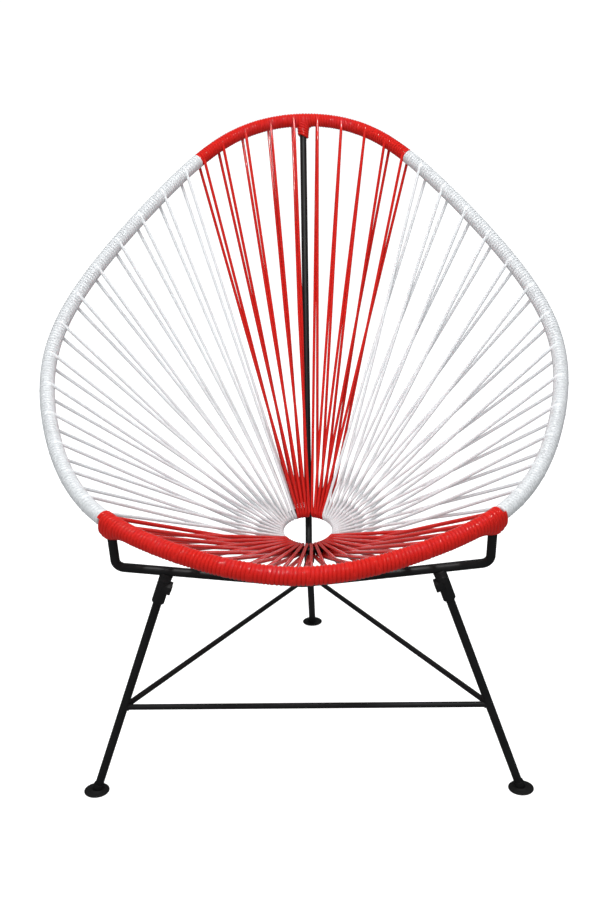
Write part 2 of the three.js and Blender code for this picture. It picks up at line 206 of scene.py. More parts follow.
def blackOxide():
    finish = Finish("black oxide")
    wear = finish.ramp(finish.grain(*oxide["wearGrain"]), *oxide["wearBand"])
    tooling = finish.grain(*oxide["toolingGrain"])
    finish.set(
        Base_Color=finish.mix(wear * oxide["wearShare"], oxide["dark"], oxide["worn"]),
        Metallic=oxide["metallic"],
        Roughness=oxide["roughness"] + wear * oxide["wornRoughness"],
        Normal=finish.bump(tooling, oxide["toolingDepth"]),
    )
    return finish.material


# Moulded feet: matt black plastic with a spark-eroded texture and scuffs near the floor
moulding = {
    "black": (0.006, 0.006, 0.0063, 1), "scuffed": (0.03, 0.0295, 0.0285, 1), "scuffHeight": 0.0016,
    "scratchGrain": (260, 8, 0.75), "scratchBand": (0.5, 0.62), "lowScuffs": 0.8, "highScuffs": 0.08,
    "erosionGrain": (1300, 3, 0.6), "erosionDepth": 0.00012, "roughness": 0.6, "erodedRoughness": 0.14,
    "specular": 0.2,
}


def mouldedPlastic():
    finish = Finish("moulded plastic")
    height = finish.node("ShaderNodeSeparateXYZ", {}, {0: finish.place()}, output=2)
    low = finish.node(
        "ShaderNodeMapRange", {"clamp": True},
        {"Value": height, "From Min": 0.0, "From Max": moulding["scuffHeight"], "To Min": 1.0, "To Max": 0.0},
    )
    scratch = finish.ramp(finish.grain(*moulding["scratchGrain"]), *moulding["scratchBand"])
    erosion = finish.grain(*moulding["erosionGrain"])
    scuffs = low * scratch * moulding["lowScuffs"] + scratch * moulding["highScuffs"]
    finish.set(
        Base_Color=finish.mix(scuffs, moulding["black"], moulding["scuffed"]),
        Roughness=moulding["roughness"] + erosion * moulding["erodedRoughness"],
        Specular_IOR_Level=moulding["specular"],
        Normal=finish.bump(erosion, moulding["erosionDepth"]),
    )
    return finish.material


# Vinyl cord: each winding and loop has its own tone, with faint draw lines and a gloss.
# The mesh attribute tone runs from 0 to 1, and grime is higher in the white winding: the grime attribute
# carries dust, and in the white winding it is mostly painted shade that darkens the winding against its
# strands.
# Both colours share one skin.
vinyls = {
    "red": {
        "name": "red vinyl cord", "deep": (0.52, 0.012, 0.009, 1), "fresh": (0.7, 0.019, 0.013, 1),
        "grimeAndShade": (0.3, 0.006, 0.005, 1), "roughness": 0.06, "specular": 0.3, "coat": 0.06,
    },
    "white": {
        "name": "white vinyl cord", "deep": (0.785, 0.81, 0.825, 1), "fresh": (0.86, 0.885, 0.895, 1),
        "grimeAndShade": (0.4, 0.405, 0.415, 1), "roughness": 0.25, "specular": 0.3, "coat": 0.05,
    },
}
vinylSkin = {
    "cloudGrain": (45, 4, 0.55), "smearGrain": (240, 5, 0.65), "smearBand": (0.45, 0.8),
    "lineGrain": (1500, 2, 0.5), "lineShare": 0.3, "depth": 0.00003,
    "toneShare": 0.65, "cloudShare": 0.35, "dirtFloor": 0.35, "dirtSmear": 0.65,
    "smearRoughness": 0.05, "cloudRoughness": 0.03, "coatRoughness": 0.08,
}


def vinylCord(settings):
    finish = Finish(settings["name"])
    tone = finish.node("ShaderNodeAttribute", {"attribute_name": "tone"}, output="Fac")
    soilAndShade = finish.node("ShaderNodeAttribute", {"attribute_name": "grimeAndShade"}, output="Fac")
    cloud = finish.grain(*vinylSkin["cloudGrain"])
    smear = finish.ramp(finish.grain(*vinylSkin["smearGrain"]), *vinylSkin["smearBand"])
    age = tone * vinylSkin["toneShare"] + cloud * vinylSkin["cloudShare"]
    colour = finish.mix(age, settings["deep"], settings["fresh"])
    # The grime colour mixed in here stands for dust, and for painted shade where the white winding's grime
    # attribute is high
    dirtAndShade = soilAndShade * (vinylSkin["dirtFloor"] + smear * vinylSkin["dirtSmear"])
    lines = finish.grain(*vinylSkin["lineGrain"])
    uneven = smear * vinylSkin["smearRoughness"] + cloud * vinylSkin["cloudRoughness"]
    finish.set(
        Base_Color=finish.mix(dirtAndShade, colour, settings["grimeAndShade"]),
        Roughness=settings["roughness"] + uneven,
        Coat_Weight=settings["coat"],
        Coat_Roughness=vinylSkin["coatRoughness"],
        Specular_IOR_Level=settings["specular"],
        Normal=finish.bump(lines * vinylSkin["lineShare"] + cloud, vinylSkin["depth"]),
    )
    return finish.material


steelFinish = powderCoat()
weldFinish = coatedWeld()
screwFinish = blackOxide()
footFinish = mouldedPlastic()
cordFinish = {name: vinylCord(settings) for name, settings in vinyls.items()}
print("materials made")

# The hoop's centreline, as in the source: shares of half width, half depth and rise
hoop = {
    "width": 0.762, "depth": 0.754, "height": 0.914, "frontEdge": 0.39,
    "tube": 0.0127, "wrap": 0.0046, "samples": 2400, "step": 0.002,
    "shares": [
        (0, 1.0458, 1.0147), (0.3354, 0.9083, 0.971), (0.6092, 0.6165, 0.7954),
        (0.8803, 0.3177, 0.588), (1.0335, 0.0361, 0.3998), (0.9611, -0.3185, 0.2183),
        (0.7754, -0.6759, 0.079), (0.4222, -0.9113, 0.0286), (0, -1.0444, -0.0145),
    ],
}
tubeRadius = hoop["tube"] / 2
wrapRadius = tubeRadius + hoop["wrap"]
windingRadius = tubeRadius + hoop["wrap"] / 2


def hoopTable():
    wide = hoop["width"] / 2 - wrapRadius
    deep = hoop["depth"] / 2 - wrapRadius
    rise = hoop["height"] - hoop["frontEdge"]
    low = hoop["frontEdge"] - wrapRadius
    near = [(x * wide, y * deep, low + z * rise) for x, y, z in hoop["shares"]]
    controls = np.array(near + [(-x, y, z) for x, y, z in near[-2:0:-1]])
    t = np.linspace(0, len(controls), hoop["samples"] + 1)
    i = np.floor(t).astype(int) % len(controls)
    f = (t - np.floor(t))[:, None]
    weights = ((1 - f) ** 3, 3 * f**3 - 6 * f**2 + 4, -3 * f**3 + 3 * f**2 + 3 * f + 1, f**3)
    places = sum(w * controls[(i - 1 + k) % len(controls)] for k, w in enumerate(weights)) / 6
    steps = np.linalg.norm(np.diff(places, axis=0), axis=1)
    return places, np.concatenate(([0], np.cumsum(steps)))


hoopPlaces, hoopLengths = hoopTable()
hoopLength = float(hoopLengths[-1])


# A place on the hoop and the way it runs, at a length from the top centre towards the left
def hoopAt(length):
    def at(value):
        wanted = -value % hoopLength
        return Vector([float(np.interp(wanted, hoopLengths, hoopPlaces[:, axis])) for axis in range(3)])
    step = hoop["step"]
    return at(length), (at(length + step) - at(length - step)).normalized()


# Seat ring: a bar bent round, tilted up at the back; 90 degrees is its back
ring = {
    "diameter": 0.1012, "bar": 0.012, "setback": 0.0983, "height": 0.2623, "tilt": 18.7, "fit": 0.0005,
    "barSides": 28, "sides": 96,
}
ringRadius = ring["diameter"] / 2
ringCentre = Vector((0, ring["setback"], ring["height"]))
ringTilt = math.radians(ring["tilt"])
ringRight = Vector((1, 0, 0))
ringBack = Vector((0, math.cos(ringTilt), math.sin(ringTilt)))
ringUp = Vector((0, -math.sin(ringTilt), math.cos(ringTilt)))


def ringOut(angle):
    return ringRight * math.cos(angle) + ringBack * math.sin(angle)


# At a length of the hoop: the place, the hoop's run, the way to the target and the way up from both
def hoopFrame(length, target):
    place, along = hoopAt(length)
    inward = target - place
    inward = (inward - along * inward.dot(along)).normalized()
    lift = along.cross(inward)
    if lift.dot(ringUp) < 0:
        lift.negate()
    return place, along, inward, lift


cordSides = 12


# A bevelled curve through the places, made a mesh that knows its own tone and grime; the grime values hold
# dust and painted shade
def cordMesh(places, radius, tone, grimeAndShadeLevels):
    data = bpy.data.curves.new("cord", "CURVE")
    data.dimensions = "3D"
    data.fill_mode = "FULL"
    data.use_fill_caps = True
    data.bevel_depth = radius
    data.bevel_resolution = cordSides // 2 - 2
    spline = data.splines.new("POLY")
    spline.points.add(len(places) - 1)
    spline.points.foreach_set("co", [c for p in places for c in (p[0], p[1], p[2], 1.0)])
    carrier = bpy.data.objects.new("cord", data)
    scene.collection.objects.link(carrier)
    bpy.context.view_layer.update()
    seen = carrier.evaluated_get(bpy.context.evaluated_depsgraph_get())
    mesh = bpy.data.meshes.new_from_object(seen)
    bpy.data.objects.remove(carrier)
    bpy.data.curves.remove(data)
    count = len(mesh.vertices)
    which = np.minimum(np.arange(count) // cordSides, len(places) - 1)
    soilAndShadeLevels = np.asarray(grimeAndShadeLevels, np.float32)[which]
    for name, values in (("tone", np.full(count, tone, np.float32)), ("grimeAndShade", soilAndShadeLevels)):
        mesh.attributes.new(name, "FLOAT", "POINT").data.foreach_set("value", values)
    return mesh


def finishPiece(name, meshes, material, replaced):
    bm = bmesh.new()
    for mesh in meshes:
        bm.from_mesh(mesh)
        bpy.data.meshes.remove(mesh)
    whole = bpy.data.meshes.new(name)
    bm.to_mesh(whole)
    bm.free()
    whole.shade_smooth()
    whole.materials.append(material)
    made = bpy.data.objects.new(name, whole)
    scene.collection.objects.link(made)
    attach(made, root)
    if replaced:
        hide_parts(*replaced)


# Cords: how the four lengths share the hoop and the ring. The back loops run from the middle
# outwards: hoop length and spread in mm, with the ring's angle between and its spread last.
cords = {
    "strand": 0.0048, "frontStrand": 0.0056, "seam": 0.0008,
    "backLength": 0.416, "frontLength": 0.562, "backTurn": 69.2 / 360, "frontTurn": 118.6 / 360,
    "backLeft": [
        (16.7, 90.5, 1.8, 4.9), (58.3, 96.3, 1.5, 4), (107, 101.9, 1.8, 2.8), (156.5, 107.5, 3.4, 1.6),
        (202.5, 113.1, 4.5, 0.3),
    ],
    "backRight": [
        (24.8, 78.2, -3.2, 6), (66.7, 72.6, -5, 5.2), (113.3, 67.1, -7, 4.4), (161, 61.1, 2.8, 4.4),
        (203, 55.6, 3, 3.6),
    ],
    "sideLoops": 13, "sideMargin": 0.04, "sideSpread": 0.007, "sideAdvance": 0.008,
    "leftGain": 10.5, "rightLag": 3.4, "rightLagStep": -0.1,
    "frontLoops": 18, "frontMargin": 0.021, "frontSpread": 0.0035, "frontAdvance": 0.006,
    "hoopMiddle": (-0.35, 2.6), "ringMiddle": (0.55, 1.6),
}
strandRadius = cords["strand"] / 2
curlRadius = ring["bar"] / 2 + ring["fit"] + strandRadius
seam = cords["seam"] / 2
sideStart = cords["backLength"] / 2
frontStart = (hoopLength - cords["frontLength"]) / 2
sideTurn = (1 - cords["backTurn"] - cords["frontTurn"]) / 2

# The turns on the hoop. Pressed is half of the flattened cord's height, and proud is how much
# further out the front turns lie. Turns near a weld hang lower to cover it.
winding = {
    "pitch": 0.00475, "pressed": 0.0029, "frontPitch": 0.0051, "frontPressed": 0.0031, "frontProud": 0.0012,
    "steps": 22, "waver": 0.012, "waverScale": 90, "squeeze": 0.01, "squeezeScale": 0.045,
    "slip": 0.00022, "slipScale": 0.9, "tones": (0.55, 0.8), "dust": 0.25, "dustScale": 22,
    # The white winding's soil is a little dirt and mostly painted shade that darkens the winding against its
    # strands; the red winding's soil darkens it a little
    "redSoil": 0.1, "whiteSoilAndShade": 0.72,
    "hang": 0.0125, "hangFrom": 0.25, "hangPower": 1.3,
    "stubReach": 0.018, "stubOut": 0.3, "topReach": 0.009, "topOut": 0.15,
}


# The winding from one length to another: the cord goes over the hoop, in and under it.
# Each joint is a length, a direction and a reach along the hoop.
def windingPlaces(start, end, pitch, pressed, joints, proud):
    heading = 1 if end > start else -1
    turns = abs(end - start) / pitch
    count = int(turns * winding["steps"])
    radius = wrapRadius - pressed + proud
    places = []
    for k in range(count + 1):
        length = start + (end - start) * k / count
        place, along, inward, lift = hoopFrame(length, ringCentre)
        turn = math.pi - fullTurn * turns * k / count
        waver = winding["waver"] * noise.noise(place * winding["waverScale"])
        squeeze = winding["squeeze"] * noise.noise(Vector((k * winding["squeezeScale"], heading, 3)))
        slip = noise.noise(Vector((k / winding["steps"] * winding["slipScale"], 7, heading)))
        ray = inward * math.cos(turn) + lift * math.sin(turn)
        hung = Vector((0, 0, 0))
        for middle, down, reach in joints:
            near = (length - middle) / reach
            low = max(0, ray.dot(down) + winding["hangFrom"]) / (1 + winding["hangFrom"])
            hung += down * winding["hang"] * math.exp(-near * near) * low ** winding["hangPower"]
        places.append(place + ray * radius * (1 + waver + squeeze) + along * winding["slip"] * slip + hung)
    return places


def windingMesh(start, end, pitch, pressed, joints, soilAndShade, proud=0):
    places = windingPlaces(start, end, pitch, pressed, joints, proud)
    # The soil, which is painted shade on the white winding, and the noisy dust darken the turns towards the
    # grime colour
    grimeAndShadeLevels = [soilAndShade + winding["dust"] * max(0, noise.noise(p * winding["dustScale"])) for p in places]
    return cordMesh(places, pressed, rng.uniform(*winding["tones"]), grimeAndShadeLevels)


# A loop's ends and strands. A root's shape is its swing over the hoop in degrees and how proud it lies.
strands = {
    "backRoot": (55, -0.0006), "sideRoot": (85, 0.0002), "frontRoot": (100, 0.0008),
    "tuck": 0.0024, "rootSteps": 12, "rise": 0.38, "leanLimit": 1.5, "curlSteps": 14, "steps": 16,
    "touch": 0.5, "touchClear": 0.0045, "crossClear": 0.0047, "crossReach": 0.2,
    "shift": 0.0006, "tones": (0.35, 1), "grimeAndShade": 0.03, "dust": 0.12, "dustScale": 30, "soiledAndShadedSteps": 9,
}


# The end of a loop on the hoop: tucked between the turns outside, up over the winding, away inwards.
# side is 1 over the hoop and -1 under it, and the list ends where the strand leaves.
def rootPlaces(length, ringPlace, side, rootShape):
    swing, proud = math.radians(rootShape[0]), rootShape[1]
    place, along, inward, lift = hoopFrame(length, ringPlace)
    run = ringPlace - place
    limit = strands["leanLimit"]
    lean = max(-limit, min(limit, run.dot(along) / run.dot(inward)))
    places = []
    for k in range(strands["rootSteps"] + 1):
        f = k / strands["rootSteps"]
        back = swing * (1 - f)
        shift = -lean * windingRadius * swing * (1 - f * f) / 2
        spot, along, inward, lift = hoopFrame(length + shift, ringPlace)
        grown = min(1, f / strands["rise"])
        grown = grown * grown * (3 - 2 * grown)
        radius = windingRadius - strands["tuck"] + (strands["tuck"] + proud) * grown
        turn = math.pi / 2 + back
        places.append(spot + (inward * math.cos(turn) + lift * side * math.sin(turn)) * radius)
    return places


# A strand between hoop and ring, pushed sideways: to a kink where it touches, or in a soft bow
def strandPlaces(start, end, sideways, push, touch):
    places = []
    for k in range(1, strands["steps"]):
        f = k / strands["steps"]
        if touch:
            share = min(f / touch, (1 - f) / (1 - touch))
        else:
            share = math.exp(-(((f - 0.5) / strands["crossReach"]) ** 2))
        places.append(start.lerp(end, f) + sideways * push * share)
    return places


# One loop: over the hoop, down under the ring, up through its hole and back under the hoop.
# touch is where its strands meet, 0 where they cross with a clearance, None where they are left.
def loopPlaces(length, angle, spread, advance, touch, rootShape):
    ringPlace = ringCentre + ringOut(angle) * ringRadius
    run = ringPlace - hoopAt(length)[0]
    slope = math.atan2(-run.dot(ringUp), -run.dot(ringOut(angle)))
    over = rootPlaces(length - spread / 2, ringPlace, 1, rootShape)
    under = rootPlaces(length + spread / 2, ringPlace, -1, rootShape)
    advance /= ringRadius
    curl = []
    for k in range(strands["curlSteps"] + 1):
        share = k / strands["curlSteps"]
        turn = math.pi * 1.5 + slope - math.pi * share
        out = ringOut(angle + advance * (share - 0.5)) * (ringRadius + curlRadius * math.cos(turn))
        curl.append(ringCentre + out + ringUp * curlRadius * math.sin(turn))
    lift = hoopFrame(length, ringPlace)[3]
    sideways = run.cross(lift).normalized()
    middle = touch or 0.5
    gap = (over[-1].lerp(curl[0], middle) - under[-1].lerp(curl[-1], middle)).dot(sideways)
    if touch:
        rooted = (over[-1] - under[-1]).dot(sideways)
        push = (math.copysign(strands["touchClear"], rooted) - gap) / 2
    elif touch is None:
        push = 0
    else:
        push = max(0, strands["crossClear"] - abs(gap)) / 2 * (1 if gap >= 0 else -1)
    there = strandPlaces(over[-1], curl[0], sideways, push, touch)
    back = strandPlaces(under[-1], curl[-1], sideways, -push, touch)
    return over + there + curl + back[::-1] + under[::-1]


# Shares from 0 to 1 whose steps are wider, or narrower, round the middle
def spacedShares(count, middleShare, reach):
    shares = [0]
    for i in range(1, count):
        shares.append(shares[-1] + 1 + middleShare * math.exp(-(((i - count / 2) / reach) ** 2)))
    return [share / shares[-1] for share in shares]


# Each loop below is a hoop length, a ring angle, its spread on both and how its strands meet
def backLoops():
    for side, loops, touch in ((1, cords["backLeft"], strands["touch"]), (-1, cords["backRight"], None)):
        for length, angle, spread, advance in loops:
            onHoop, spread, advance = (side * value / 1000 for value in (length, spread, advance))
            yield onHoop, math.radians(angle), spread, -advance, touch


# On the left the ring angles close up towards the back, and on the right they lie further forward
def sideLoops(side):
    first, last = sideStart + cords["sideMargin"], frontStart - cords["sideMargin"]
    for i in range(cords["sideLoops"]):
        length = first + (last - first) * i / (cords["sideLoops"] - 1)
        share = cords["backTurn"] / 2 + sideTurn * (i + 0.5) / cords["sideLoops"]
        angle = fullTurn / 4 + side * fullTurn * share
        if side < 0:
            angle -= math.radians(cords["rightLag"] + cords["rightLagStep"] * i)
        else:
            angle -= math.radians(cords["leftGain"]) * (1 - i / (cords["sideLoops"] - 1))
        yield side * length, angle, side * cords["sideSpread"], cords["sideAdvance"], 0


def frontLoops():
    count = cords["frontLoops"]
    first = frontStart + cords["frontMargin"]
    last = hoopLength - first
    firstShare = cords["backTurn"] / 2 + sideTurn + cords["frontTurn"] / 2 / count
    lastShare = firstShare + cords["frontTurn"] * (count - 1) / count
    for onHoop, onRing in zip(
            spacedShares(count, *cords["hoopMiddle"]), spacedShares(count, *cords["ringMiddle"])):
        share = firstShare + (lastShare - firstShare) * onRing
        length, angle = first + (last - first) * onHoop, fullTurn / 4 + fullTurn * share
        yield length, angle, cords["frontSpread"], cords["frontAdvance"], 0


# A loop's first and last steps lie in the winding and take some of its soil, so on the white loops they carry
# the winding's painted shade
def loopMeshes(loops, rootShape, radius, soilAndShade):
    meshes = []
    for length, angle, spread, advance, touch in loops:
        length += rng.uniform(-strands["shift"], strands["shift"])
        places = loopPlaces(length, angle, spread, advance, touch, rootShape)
        dust = [max(0, noise.noise(p * strands["dustScale"])) for p in places]
        grimeAndShadeLevels = [strands["grimeAndShade"] + strands["dust"] * share for share in dust]
        for k in range(strands["soiledAndShadedSteps"]):
            for end in (k, -1 - k):
                grimeAndShadeLevels[end] += soilAndShade * (1 - k / strands["soiledAndShadedSteps"])
        meshes.append(cordMesh(places, radius, rng.uniform(*strands["tones"]), grimeAndShadeLevels))
    return meshes


# Cord wound round the bars under the hoop, each on a rounded profile of (depth, radius) places
wraps = {
    "corner": {
        "profile": [(0.009, 0.012), (0.014, 0.012), (0.0175, 0.0112), (0.02, 0.0098)],
        "pitch": 0.0036, "lean": 0.1, "thickness": 0.0044,
    },
    "top": {
        "profile": [(0.004, 0.0112), (0.012, 0.0106), (0.02, 0.0098), (0.028, 0.0093)],
        "pitch": 0.0042, "lean": 0.6, "thickness": 0.0046,
    },
    "tones": (0.5, 0.7), "grimeAndShade": 0.15,
}


def wrapMesh(start, down, wrap):
    depths, radii = zip(*wrap["profile"])
    first, last = depths[0], depths[-1]
    across = Vector((1, 0, 0))
    across = (across - down * across.dot(down)).normalized()
    front = down.cross(across)
    turns = (last - first) / wrap["pitch"]
    count = int(turns * winding["steps"])
    places = []
    for k in range(count + 1):
        depth = first + (last - first) * k / count
        radius = float(np.interp(depth, depths, radii)) - wrap["thickness"] / 2
        turn = fullTurn * turns * k / count
        ray = across * math.cos(turn) + front * math.sin(turn)
        places.append(start + down * (depth + wrap["lean"] * math.cos(turn) * radius) + ray * radius)
    grimeAndShadeLevels = [wraps["grimeAndShade"]] * len(places)
    return cordMesh(places, wrap["thickness"] / 2, rng.uniform(*wraps["tones"]), grimeAndShadeLevels)


# Crossbar and spine centrelines, as in the source
base = {
    "crossbar": 0.0123, "stubInset": 0.012, "stubDrop": 0.068, "stubSetback": 0.018,
    "corner": 0.012, "dip": 0.0255, "middleBend": 0.04,
    "spine": 0.0111, "spineDrop": 0.0703, "spineSetback": 0.0497, "spineBend": 0.07,
}
stubTop = hoopAt(frontStart + base["stubInset"])[0]
crossbarY = stubTop.y + base["stubSetback"]
cornerLeft = Vector((stubTop.x, crossbarY, stubTop.z - base["stubDrop"]))
crossbarMiddle = Vector((0, crossbarY, cornerLeft.z - base["dip"]))
spineTop = hoopAt(0)[0]
spineCorner = Vector((0, ring["setback"] + base["spineSetback"], ring["height"] - base["spineDrop"]))


def mirrored(place):
    return Vector((-place.x, place.y, place.z))


def backCord():
    down = (spineCorner - spineTop).normalized()
    knot = (down + Vector((winding["topOut"], 0, 0))).normalized()
    joints = [(0, knot, winding["topReach"])]
    meshes = [
        windingMesh(0, end, winding["pitch"], winding["pressed"], joints, winding["redSoil"])
        for end in (sideStart - seam, -sideStart + seam)
    ]
    meshes.append(wrapMesh(spineTop, down, wraps["top"]))
    meshes += loopMeshes(backLoops(), strands["backRoot"], strandRadius, winding["redSoil"])
    finishPiece("redBackCord", meshes, cordFinish["red"], ["cord_back"])


def sideCord(side, name):
    # The white winding and its loop ends are darkened by whiteSoilAndShade, which is painted shade
    start, end, soilAndShade = side * (sideStart + seam), side * (frontStart - seam), winding["whiteSoilAndShade"]
    meshes = [windingMesh(start, end, winding["pitch"], winding["pressed"], [], soilAndShade)]
    meshes += loopMeshes(sideLoops(side), strands["sideRoot"], strandRadius, soilAndShade)
    replaced = ["cord_" + name.lower()]
    finishPiece("white" + name + "Cord", meshes, cordFinish["white"], replaced)


def frontCord():
    down = (cornerLeft - stubTop).normalized()
    sag = (down - Vector((winding["stubOut"], 0, 0))).normalized()
    atStub, reach = frontStart + base["stubInset"], winding["stubReach"]
    joints = [(atStub, sag, reach), (hoopLength - atStub, mirrored(sag), reach)]
    meshes = [windingMesh(
        frontStart + seam, hoopLength - frontStart - seam, winding["frontPitch"], winding["frontPressed"],
        joints, winding["redSoil"], winding["frontProud"])]
    for start, along in ((stubTop, down), (mirrored(stubTop), mirrored(down))):
        meshes.append(wrapMesh(start, along, wraps["corner"]))
    meshes += loopMeshes(frontLoops(), strands["frontRoot"], cords["frontStrand"] / 2, winding["redSoil"])
    finishPiece("redFrontCord", meshes, cordFinish["red"], ["cord_front"])


backCord()
sideCord(1, "Left")
sideCord(-1, "Right")
frontCord()

# How finely the steel's round forms are drawn
rounds = {"barSides": 36, "bendSteps": 18, "ease": 0.0005, "turnedSides": 48, "merge": 0.00001}


def turnedTo(place, direction):
    return Matrix.Translation(place) @ direction.to_track_quat("Z", "Y").to_matrix().to_4x4()


def extruded(bm, edges, shift):
    made = bmesh.ops.extrude_edge_only(bm, edges=edges)["geom"]
    bmesh.ops.translate(bm, verts=[v for v in made if isinstance(v, bmesh.types.BMVert)], vec=shift)
    return [e for e in made if isinstance(e, bmesh.types.BMEdge) and e.is_boundary]


def spunRound(bm, sides):
    centre, axis = (0, 0, 0), (0, 0, 1)
    bmesh.ops.spin(bm, geom=bm.edges[:], cent=centre, axis=axis, angle=fullTurn, steps=sides, use_merge=True)


def meshOf(bm, name):
    bmesh.ops.recalc_face_normals(bm, faces=bm.faces[:])
    mesh = bpy.data.meshes.new(name)
    bm.to_mesh(mesh)
    bm.free()
    return mesh


def closeEnds(bm):
    ends = [edge for edge in bm.edges if edge.is_boundary]
    bmesh.ops.holes_fill(bm, edges=ends, sides=0)
    bmesh.ops.bevel(
        bm, geom=ends, offset=rounds["ease"], segments=3, profile=0.5, affect="EDGES", material=-1,
        offset_type="OFFSET")


# A round bar through the corners, bent to a radius at each inner one and eased at its ends
def barMesh(corners, bends, diameter):
    bm = bmesh.new()
    ahead = (corners[1] - corners[0]).normalized()
    end = turnedTo(corners[0], ahead)
    bmesh.ops.create_circle(bm, segments=rounds["barSides"], radius=diameter / 2, matrix=end)
    edges, here = bm.edges[:], corners[0]
    for corner, after, bend in zip(corners[1:-1], corners[2:], bends):
        onward = (after - corner).normalized()
        angle = ahead.angle(onward)
        start = corner - ahead * bend * math.tan(angle / 2)
        edges = extruded(bm, edges, start - here)
        axis = ahead.cross(onward).normalized()
        centre = start + axis.cross(ahead) * bend
        made = bmesh.ops.spin(
            bm, geom=edges, cent=centre, axis=axis, angle=angle, steps=rounds["bendSteps"], use_merge=False)
        edges = [e for e in made["geom_last"] if isinstance(e, bmesh.types.BMEdge)]
        here = corner + onward * bend * math.tan(angle / 2)
        ahead = onward
    extruded(bm, edges, corners[-1] - here)
    closeEnds(bm)
    return meshOf(bm, "bar")


# A profile of (radius, height) places turned round an axis
def turnedMesh(profile, place, axis):
    bm = bmesh.new()
    points = [bm.verts.new((radius, 0, height)) for radius, height in profile]
    for pair in zip(points, points[1:]):
        bm.edges.new(pair)
    spunRound(bm, rounds["turnedSides"])
    bmesh.ops.remove_doubles(bm, verts=bm.verts[:], dist=rounds["merge"])
    bmesh.ops.transform(bm, verts=bm.verts[:], matrix=turnedTo(place, axis))
    return meshOf(bm, "turned")


# A ring of round section about a place
def ringInto(bm, radius, section, sectionSides, sides, place, axis):
    upright = Matrix.Translation((radius, 0, 0)) @ Matrix.Rotation(math.pi / 2, 4, "X")
    bmesh.ops.create_circle(bm, segments=sectionSides, radius=section, matrix=upright)
    spunRound(bm, sides)
    bmesh.ops.transform(bm, verts=bm.verts[:], matrix=turnedTo(place, axis))


beads = {"radius": 0.0013, "sectionSides": 10, "sides": 40, "swell": 0.22, "swellScale": 420}


# A weld bead round a bar that meets another: a small ring that dips with the other bar's side
def beadMesh(place, axis, barRadius, other, otherRadius):
    bm = bmesh.new()
    bead = beads["radius"]
    ringInto(bm, barRadius, bead, beads["sectionSides"], beads["sides"], place, axis)
    across = axis.cross(other).normalized()
    for vert in bm.verts:
        off = min(abs((vert.co - place).dot(across)), otherRadius)
        dip = otherRadius - math.sqrt(otherRadius**2 - off**2)
        vert.co -= axis * dip
        swell = noise.noise(vert.co * beads["swellScale"])
        vert.co += (vert.co - place).normalized() * bead * beads["swell"] * swell
    return meshOf(bm, "bead")


def steelPiece(name, meshes, replaced, finish=steelFinish):
    finishPiece(name, meshes, finish, replaced)


def seatRing():
    bm = bmesh.new()
    ringInto(bm, ringRadius, ring["bar"] / 2, ring["barSides"], ring["sides"], ringCentre, ringUp)
    steelPiece("seatRing", [meshOf(bm, "ring")], ["centre_ring"])


seatRing()

crossbarCorners = [stubTop, cornerLeft, crossbarMiddle, mirrored(cornerLeft), mirrored(stubTop)]
crossbarBends = [base["corner"], base["middleBend"], base["corner"]]
spineCorners = [spineTop, spineCorner, crossbarMiddle]
steelPiece("crossBar", [barMesh(crossbarCorners, crossbarBends, base["crossbar"])], ["crossbar"])
steelPiece("spineBar", [barMesh(spineCorners, [base["spineBend"]], base["spine"])], ["spine_bar"])

# Legs and struts
legs = {
    "diameter": 0.0116, "footSpan": 0.5958, "footReach": 0.2371, "rearReach": 0.3052, "stop": 0.003,
    "footGap": 0.0021, "strut": 0.0079, "strutHeight": 0.136, "braceOffset": 0.0046, "strutSunk": 0.5,
    "strutFit": 0.0001,
}
# Leg sockets with a nut on the side. Rim values ease the mouth, in two steps.
sockets = {
    "span": 0.353, "diameter": 0.017, "length": 0.041, "saddle": 0.003, "ease": 0.0006,
    "rim": 0.0012, "rimMiddle": 0.0004, "fit": 0.0003, "boreEase": 0.0005, "boreDepth": 0.012,
    "beadInset": 0.0008, "beadDrop": 0.0004,
    "nutFlats": 0.018, "nutHeight": 0.0037, "nutDrop": 0.017, "nutEase": 0.0006,
}
# Feet: a disc that lies on the floor, and a collar round the leg. Profiles are (radius, height).
feet = {
    "disc": [
        (0, 0), (0.0165, 0), (0.01715, 0.0003), (0.0176, 0.0009), (0.01775, 0.0016), (0.0176, 0.0022),
        (0.0171, 0.0026), (0.0155, 0.0029), (0.0125, 0.0034), (0.0105, 0.004), (0.0094, 0.0049), (0, 0.0052),
    ],
    "discHeight": 0.0026, "collar": 0.0078, "collarRise": 0.0015, "collarHeight": 0.014,
    "collarSide": [(0.0075, 0.008), (0.0073, 0.0128), (0.0071, 0.0137), (0.0068, 0.014)],
    "fit": 0.0002, "boreEase": 0.0004, "boreFloor": 0.009,
}
legRadius = legs["diameter"] / 2
strutRadius = legs["strut"] / 2
socketRadius = sockets["diameter"] / 2
armSlope = (cornerLeft.z - crossbarMiddle.z) / -cornerLeft.x
socketTop = Vector((-sockets["span"] / 2, crossbarY, crossbarMiddle.z + armSlope * sockets["span"] / 2))
spineBack = (spineTop - spineCorner).normalized()
spineAhead = (crossbarMiddle - spineCorner).normalized()


def bendMiddle():
    bend = math.pi - spineBack.angle(spineAhead)
    inward = (spineBack + spineAhead).normalized()
    return spineCorner + inward * (base["spineBend"] / math.cos(bend / 2) - base["spineBend"])


def legOf(top, foot, carrier, carrierAlong, nutSide):
    down = (foot - top).normalized()
    return {
        "top": top, "foot": foot, "down": down, "out": (nutSide - down * nutSide.dot(down)).normalized(),
        "carrier": carrier, "carrierAlong": carrierAlong,
        "seat": top + down * (carrier + sockets["nutDrop"]),
        "start": top + down * (carrier + legs["stop"]),
        "end": foot - down * (feet["discHeight"] / -down.z + legs["footGap"]),
    }


